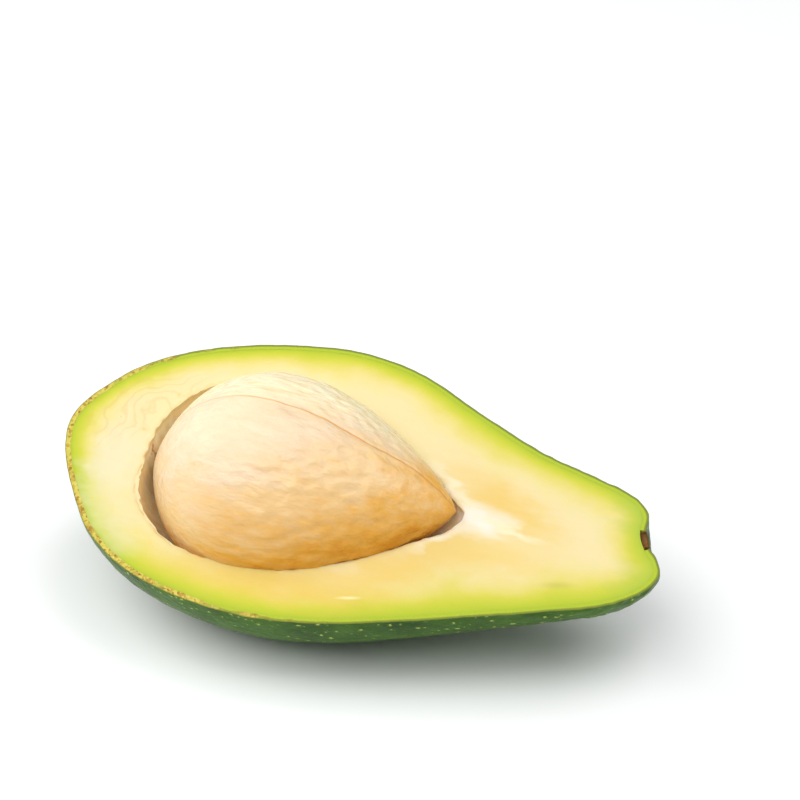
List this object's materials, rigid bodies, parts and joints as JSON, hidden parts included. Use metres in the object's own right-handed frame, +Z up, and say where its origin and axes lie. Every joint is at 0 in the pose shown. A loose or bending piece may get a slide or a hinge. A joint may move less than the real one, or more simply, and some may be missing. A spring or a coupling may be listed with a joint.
{
  "type": "halved avocado",
  "caption": "Avocado cut in half lengthwise: pebbly green skin, flesh that fades from green to pale yellow, and the large seed in its hollow. It lies cut face up.",
  "frame": {"origin": "the point on the surface that the half rests on, under the middle of its bounding box", "axes": "+X along the fruit towards the stem end, +Y towards the raised side of the cut face, +Z up"},
  "size_m": [0.1198, 0.0616, 0.0462],
  "materials": {
    "skin": "glossy pebbled green rind with yellow-green dots, tan where it is cut",
    "flesh": "moist cut flesh, green at the skin and pale yellow inside",
    "seed": "smooth satin seed coat, pale cream to tan",
    "stem_scar": "dry brown cork"
  },
  "bodies": {
    "root": {"skin": "skin", "flesh": "flesh", "seed": "seed", "stem_scar": "stem_scar"}
  },
  "joints": []
}
